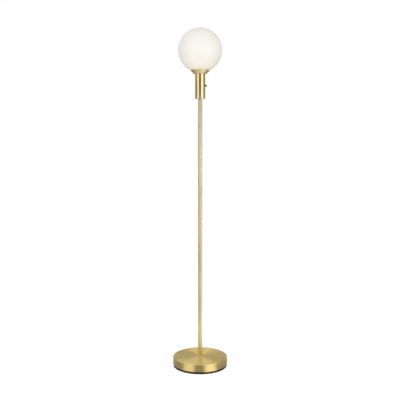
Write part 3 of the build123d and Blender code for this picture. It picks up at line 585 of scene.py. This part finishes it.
def turned(name, outline, turns, lie="Z", closed=True, wave=None):
    """Piece turned on a lathe from its outline, which isn't closed if it starts and ends on the
    axis. wave changes the radius with angle and height."""
    mesh = bpy.data.meshes.new(name)
    shape = bmesh.new()
    rings = []
    for turn in range(turns):
        angle = 2 * pi * turn / turns
        ring = []
        for r, h in outline:
            if wave:
                r = wave(angle, r, h)
            ring.append(shape.verts.new(LAID[lie](r * cos(angle), r * sin(angle), h)))
        rings.append(ring)
    last = len(outline) if closed else len(outline) - 1
    for turn in range(turns):
        here, there = rings[turn], rings[(turn + 1) % turns]
        for index in range(last):
            following = (index + 1) % len(outline)
            shape.faces.new((here[index], there[index], there[following], here[following]))
    bmesh.ops.remove_doubles(shape, verts=shape.verts, dist=SAME_PLACE)
    bmesh.ops.recalc_face_normals(shape, faces=shape.faces)
    shape.to_mesh(mesh)
    shape.free()
    mesh.shade_smooth()
    mesh.set_sharp_from_angle(angle=radians(SHARP_ANGLE))
    piece = bpy.data.objects.new(name, mesh)
    bpy.context.scene.collection.objects.link(piece)
    return piece


def pierce(piece, radius, lie, wall, reach):
    """Drill a round hole through a wall of a piece, reaching in and out from the wall."""
    start, end = wall - reach, wall + reach
    drill_outline = [(0, start), (radius, start), (radius, end), (0, end)]
    cutter = turned("cutter", drill_outline, turns=64, lie=lie, closed=False)
    drill = piece.modifiers.new("hole", "BOOLEAN")
    drill.operation = "DIFFERENCE"
    drill.solver = "EXACT"
    drill.object = cutter
    seen = piece.evaluated_get(bpy.context.evaluated_depsgraph_get())
    drilled = bpy.data.meshes.new_from_object(seen)
    piece.modifiers.clear()
    piece.data = drilled
    bpy.data.objects.remove(cutter)
    clean(drilled)


def clean(mesh):
    """Close the slivers that a drilled hole leaves, and keep its edges crisp."""
    shape = bmesh.new()
    shape.from_mesh(mesh)
    bmesh.ops.remove_doubles(shape, verts=shape.verts, dist=SLIVER)
    bmesh.ops.dissolve_degenerate(shape, edges=shape.edges, dist=SLIVER)
    shape.to_mesh(mesh)
    shape.free()
    mesh.set_sharp_from_angle(angle=radians(SHARP_ANGLE))


def dress(piece, slot, body, node):
    """Give a piece its finish, set it on its body, and let it stand for its CAD node."""
    piece.data.materials.clear()
    piece.data.materials.append(FINISHES[slot])
    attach(piece, body)
    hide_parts(node)


# ==================================================================================== base
def make_cover():
    """Brushed cover with its rounded shoulder and the hole for the cord's grommet."""
    inner = BASE_RADIUS - COVER_WALL
    ceiling = BASE_TOP - COVER_WALL
    corners = [
        (STUD_HOLE, ceiling, 0),
        (STUD_HOLE, BASE_TOP, 0.2 * MM),
        (BASE_RADIUS, BASE_TOP, SHOULDER),
        (BASE_RADIUS, COVER_BOTTOM, 0.4 * MM),
        (inner, COVER_BOTTOM, 0.4 * MM),
        (inner, ceiling, SHOULDER - COVER_WALL),
    ]
    cover = turned("cover_shell", rounded(corners, steps=10), turns=320)
    pierce(cover, GROMMET_HOLE, lie="Y", wall=BASE_RADIUS, reach=8 * MM)
    dress(cover, "brushed_brass", "lamp", "base_cover")


def make_grommet():
    """Bush for the cord, with a lip on each side of the cover."""
    corners = [
        (CORD_BORE, GROMMET_TAIL, 0.4 * MM),
        (GROMMET_NECK, GROMMET_TAIL, 0.4 * MM),
        (GROMMET_NECK, GROMMET_BACK - GROMMET_LIP_THICKNESS, 0),
        (GROMMET_LIP, GROMMET_BACK - GROMMET_LIP_THICKNESS, 0.2 * MM),
        (GROMMET_LIP, GROMMET_BACK, 0.2 * MM),
        (GROMMET_NECK, GROMMET_BACK, 0),
        (GROMMET_NECK, GROMMET_SEAT, 0),
        (GROMMET_LIP, GROMMET_SEAT, 0.1 * MM),
        (GROMMET_LIP, GROMMET_END, 0.8 * MM),
        (CORD_BORE, GROMMET_END, 0.7 * MM),
    ]
    grommet = turned("cord_bush", rounded(corners), turns=96, lie="Y")
    dress(grommet, "black_plastic", "lamp", "cord_grommet")


# ==================================================================================== pole
def make_pole():
    """Three satin tubes with a hairline between them."""
    length = (POLE_TOP - BASE_TOP) / len(POLE_TUBES)
    bore = POLE_RADIUS - POLE_WALL
    for index, node in enumerate(POLE_TUBES):
        bottom = BASE_TOP + index * length
        corners = [
            (bore, bottom, POLE_EDGE),
            (POLE_RADIUS, bottom, POLE_EDGE),
            (POLE_RADIUS, bottom + length, POLE_EDGE),
            (bore, bottom + length, POLE_EDGE),
        ]
        name = node.replace("pole_", "satin_")
        tube = turned(name, rounded(corners, steps=4), turns=128)
        dress(tube, "satin_brass", "lamp", node)


# ================================================================================= housing
def make_housing():
    """Polished can around the switch and the lampholder."""
    inner = HOUSING_RADIUS - HOUSING_WALL
    floor = POLE_TOP + HOUSING_WALL
    corners = [
        (STUD_HOLE, POLE_TOP, 0),
        (HOUSING_RADIUS, POLE_TOP, 0.8 * MM),
        (HOUSING_RADIUS, HOUSING_TOP, 0.15 * MM),
        (inner, HOUSING_TOP, 0.15 * MM),
        (inner, floor, 0.4 * MM),
        (STUD_HOLE, floor, 0),
    ]
    can = turned("housing_can", rounded(corners), turns=256)
    pierce(can, SWITCH_HOLE, lie="X", wall=HOUSING_RADIUS, reach=6 * MM)
    dress(can, "polished_brass", "lamp", "housing")


def knurl(angle, r, h):
    """Radius of the ring nut, with fine ribs round its edge."""
    if r > KNURL_START:
        return r - KNURL_DEPTH * (1 - abs(cos(KNURL_WAVES * angle)))
    return r


def make_ring_nut():
    """Knurled ring nut that holds the switch in the housing."""
    corners = [
        (RING_NUT_BORE, RING_NUT_START, 0),
        (RING_NUT_RADIUS, RING_NUT_START, 0.15 * MM),
        (RING_NUT_RADIUS, RING_NUT_END, 0.3 * MM),
        (RING_NUT_BORE, RING_NUT_END, 0.2 * MM),
    ]
    nut = turned("ring_nut", rounded(corners), turns=288, lie="X", wave=knurl)
    dress(nut, "dark_brass", "lamp", "switch_ring_nut")


def flute(angle, r, h):
    """Radius of the knob, with grooves from above its skirt to the edge of its face."""
    if h < FLUTE_START or r < KNOB_FACE:
        return r
    depth = max(0.0, cos(FLUTES * angle)) ** FLUTE_FULLNESS * FLUTE_DEPTH
    return r - depth * min(1.0, (h - FLUTE_START) / FLUTE_RUN)


def make_knob():
    """Fluted knob that narrows from its skirt to its tip, with the spindle's bore."""
    narrowing = KNOB_TIP - KNOB_SKIRT
    length = KNOB_END - KNOB_START
    side = [
        (KNOB_SKIRT + narrowing * i / KNOB_STEPS, KNOB_START + length * i / KNOB_STEPS, 0)
        for i in range(1, KNOB_STEPS)
    ]
    corners = [
        (0, KNOB_BORE_END, 0),
        (KNOB_BORE, KNOB_BORE_END, 0),
        (KNOB_BORE, KNOB_START, 0),
        (KNOB_SKIRT, KNOB_START, 0.2 * MM),
        *side,
        (KNOB_TIP, KNOB_END, 0.6 * MM),
        (0, KNOB_END, 0),
    ]
    outline = rounded(corners)
    knob = turned("fluted_knob", outline, turns=448, lie="X", closed=False, wave=flute)
    dress(knob, "dark_brass", "knob", "switch_knob")


# ============================================================================ cup and globe
def bowl_curve():
    """Centre of the arc of the cup's side, as (radius, height)."""
    run = CUP_RIM_RADIUS - HOUSING_RADIUS
    rise = CUP_RIM_HEIGHT - HOUSING_TOP
    chord = sqrt(run * run + rise * rise)
    reach = sqrt(CUP_CURVE**2 - (chord / 2) ** 2)
    return (
        (CUP_RIM_RADIUS + HOUSING_RADIUS) / 2 - reach * rise / chord,
        (CUP_RIM_HEIGHT + HOUSING_TOP) / 2 + reach * run / chord,
    )


def bowl_radius(height, inset=0.0):
    centre_radius, centre_height = bowl_curve()
    return centre_radius + sqrt((CUP_CURVE - inset) ** 2 - (centre_height - height) ** 2)


def make_cup():
    """Spun cup with a rolled rim and a spigot in the housing."""
    rise = CUP_RIM_HEIGHT - HOUSING_TOP
    drop = CUP_RIM_HEIGHT - CUP_FLOOR
    up = [HOUSING_TOP + rise * i / CUP_STEPS for i in range(CUP_STEPS)]
    down = [CUP_RIM_HEIGHT - drop * i / CUP_STEPS for i in range(1, CUP_STEPS + 1)]
    corners = [
        *((bowl_radius(height), height, 0) for height in up),
        (CUP_RIM_RADIUS, CUP_RIM_HEIGHT, CUP_RIM_EDGE),
        (bowl_radius(CUP_RIM_HEIGHT, CUP_WALL), CUP_RIM_HEIGHT, CUP_RIM_EDGE),
        *((bowl_radius(height, CUP_WALL), height, 0) for height in down),
        (CUP_HOLE, CUP_FLOOR, 0.2 * MM),
        (CUP_HOLE, HOUSING_TOP, 0),
        (SPIGOT_BORE, HOUSING_TOP, 0),
        (SPIGOT_BORE, SPIGOT_END, 0.2 * MM),
        (SPIGOT, SPIGOT_END, 0.2 * MM),
        (SPIGOT, HOUSING_TOP, 0),
    ]
    cup = turned("spun_cup", rounded(corners), turns=256)
    dress(cup, "cup_brass", "lamp", "globe_cup")


def globe_side(radius, neck):
    """Corners of the globe's outer or inner side, from its neck to its top."""
    middle = GLOBE_TOP - GLOBE_RADIUS
    start = asin(neck / radius)
    angles = [start + (pi - start) * i / GLOBE_STEPS for i in range(GLOBE_STEPS + 1)]
    side = [(radius * sin(pi - a), middle + radius * cos(pi - a), 0) for a in angles]
    side[0] = (neck, side[0][1], 1.0 * MM)
    side[-1] = (0.0, middle + radius, 0)
    return side


def make_globe():
    """Blown opal shell with a short neck."""
    neck_inner = GLOBE_NECK - GLOBE_WALL
    outer = globe_side(GLOBE_RADIUS, GLOBE_NECK)
    inner = globe_side(GLOBE_RADIUS - GLOBE_WALL, neck_inner)
    neck = [(GLOBE_NECK, GLOBE_BOTTOM, 1.2 * MM), (neck_inner, GLOBE_BOTTOM, 1.2 * MM)]
    outline = rounded(outer[::-1] + neck + inner)
    globe = turned("opal_globe", outline, turns=256, closed=False)
    dress(globe, "opal_glass", "lamp", "globe")


# ============================================================================ carried nodes
def finish_carried_nodes():
    """Give each CAD node the material of its slot, also those that a piece will replace."""
    slots = {part["node"]: part["material_slot"] for part in frame["record"]["subparts"]}
    for name, piece in frame["nodes"].items():
        finish = FINISHES[slots[name]]
        if not piece.material_slots:
            piece.data.materials.append(finish)
        for place in piece.material_slots:
            place.material = finish


# =================================================================================== studio
def mirrored_floor(finish):
    """Brightness of the floor in the metal: grey, with pools of light."""
    x, y, _ = finish.split(finish.place())
    distance = (x * x + y * y) ** 0.5 + 1 * MM  # never 0
    front = finish.step(-1.0 * y / distance, *FLOOR_FRONT_FADE)
    back = finish.step(y / distance, *FLOOR_BACK_FADE)
    level = FLOOR_SIDES + front * (FLOOR_FRONT - FLOOR_SIDES)
    level = level + back * (FLOOR_BACK - FLOOR_SIDES)
    far = finish.step(distance, *NEAR_TO_FAR)
    ring = finish.step(distance, *BACK_START) * (1 - finish.step(distance, *BACK_END))
    for pools, share in ((NEAR_POOLS, 1 - far), (FAR_POOLS, far), (BACK_POOLS, ring)):
        for angle, bright, start, full in pools:
            turn = radians(angle)
            towards = x / distance * sin(turn) - y / distance * cos(turn)
            level = level + finish.step(towards, start, full) * share * (bright - FLOOR_FRONT)
    return level * (1 - DIMMING * finish.step(distance, *DIMMING_FADE))


def make_floor():
    """Plain pale floor. The camera sees it white with the lamp's soft shadow, and the metal
    mirrors a darker one with pools of light."""
    mesh = bpy.data.meshes.new("floor")
    reach = FLOOR_REACH
    corners = [(-reach, -reach, 0), (reach, -reach, 0), (reach, reach, 0), (-reach, reach, 0)]
    mesh.from_pydata(corners, [], [(0, 1, 2, 3)])
    floor = bpy.data.objects.new("floor", mesh)
    bpy.context.scene.collection.objects.link(floor)
    finish = Finish(bpy.data.materials.new("pale_floor"))
    seen, glossy = finish.sight()
    mirrored = mirrored_floor(finish)
    white = finish.node("ShaderNodeEmission", values={"Color": WHITE, "Strength": FLOOR_GLOW})
    paper = finish.node("ShaderNodeBsdfDiffuse", values={"Color": grey(FLOOR_PAPER)})
    lit = finish.node("ShaderNodeAddShader", values={0: white, 1: paper})
    plain = finish.node("ShaderNodeBsdfDiffuse", values={"Color": grey(FLOOR_PLAIN)})
    shine = finish.node("ShaderNodeEmission", values={"Color": mirrored, "Strength": 1.0})
    others = finish.node("ShaderNodeMixShader", values={0: glossy, 1: plain, 2: shine})
    surface = finish.node("ShaderNodeMixShader", values={0: seen, 1: others, 2: lit})
    floor.data.materials.append(finish.end(surface))


def make_room():
    """Plain room. The camera sees it white, the lamp stands in its even grey light, and the
    metal mirrors a dark, slightly warm one that is paler behind and bright overhead."""
    world = bpy.data.worlds.new("studio")
    bpy.context.scene.world = world
    finish = Finish(world)
    seen, glossy = finish.sight()
    direction = finish.node("ShaderNodeTexCoord", out="Generated")
    behind = finish.step(finish.split(direction)[1], *ROOM_BACK_FADE)
    upward = finish.node(
        "ShaderNodeVectorMath",
        {"operation": "DOT_PRODUCT"},
        {0: direction, 1: CEILING},
        out=1,
    )
    above = finish.step(upward, *CEILING_FADE)
    overhead = ROOM_DARK + above * (ROOM_TOP - ROOM_DARK)
    mirrored = finish.maths("MAXIMUM", overhead, behind * ROOM_BACK)
    level = glossy * mirrored + (1 - glossy) * ROOM_LEVEL
    strength = seen + (1 - seen) * level
    warm = finish.mix(behind, ROOM_DARK_TONE, ROOM_BACK_TONE)
    tone = finish.mix(glossy * (1 - above), WHITE, warm)
    colour = finish.tint(tone, strength)
    light = finish.node("ShaderNodeBackground", values={"Color": colour, "Strength": 1.0})
    finish.end(light)


def soft_light(name, angle, distance, width, tall, power, mirrored=True):
    """Area light facing the lamp, at an angle from the camera's side towards +X."""
    lamp = bpy.data.lights.new(name, "AREA")
    lamp.shape = "RECTANGLE"
    lamp.size = width
    lamp.size_y = tall
    lamp.energy = power
    light = bpy.data.objects.new(name, lamp)
    turn = radians(angle)
    light.location = (distance * sin(turn), -distance * cos(turn), LIGHT_HEIGHT)
    light.rotation_euler = (radians(90), 0, turn)
    light.visible_camera = False
    light.visible_glossy = mirrored
    bpy.context.scene.collection.objects.link(light)


def make_lights():
    """Two tall softboxes, and a small fill light that the metal doesn't mirror."""
    soft_light("left_softbox", angle=-48.0, distance=2.4, width=1.9, tall=2.5, power=14.6)
    soft_light("right_softbox", angle=47.0, distance=2.4, width=2.3, tall=2.5, power=23.5)
    soft_light(
        "front_fill", angle=-24.0, distance=3.6, width=1.0, tall=1.0, power=15.0, mirrored=False
    )


def make_camera():
    """Camera at the photograph's place, angle and framing."""
    camera = bpy.data.objects.new("camera", bpy.data.cameras.new("camera"))
    camera.data.sensor_width = SENSOR
    camera.data.lens = FOCAL_PIXELS / IMAGE_SIZE * SENSOR
    side = (AXIS_PIXEL - IMAGE_SIZE / 2) / FOCAL_PIXELS * CAMERA_DISTANCE
    camera.location = (-side, -CAMERA_DISTANCE, CAMERA_HEIGHT)
    camera.rotation_euler = (radians(90 - CAMERA_TILT), 0, 0)
    bpy.context.scene.collection.objects.link(camera)
    bpy.context.scene.camera = camera


make_camera()
make_room()
make_lights()
make_floor()
bpy.context.scene.view_settings.view_transform = "Standard"

FINISHES = make_finishes()
finish_carried_nodes()
make_cover()
make_grommet()
make_pole()
make_housing()
make_ring_nut()
make_knob()
make_cup()
make_globe()
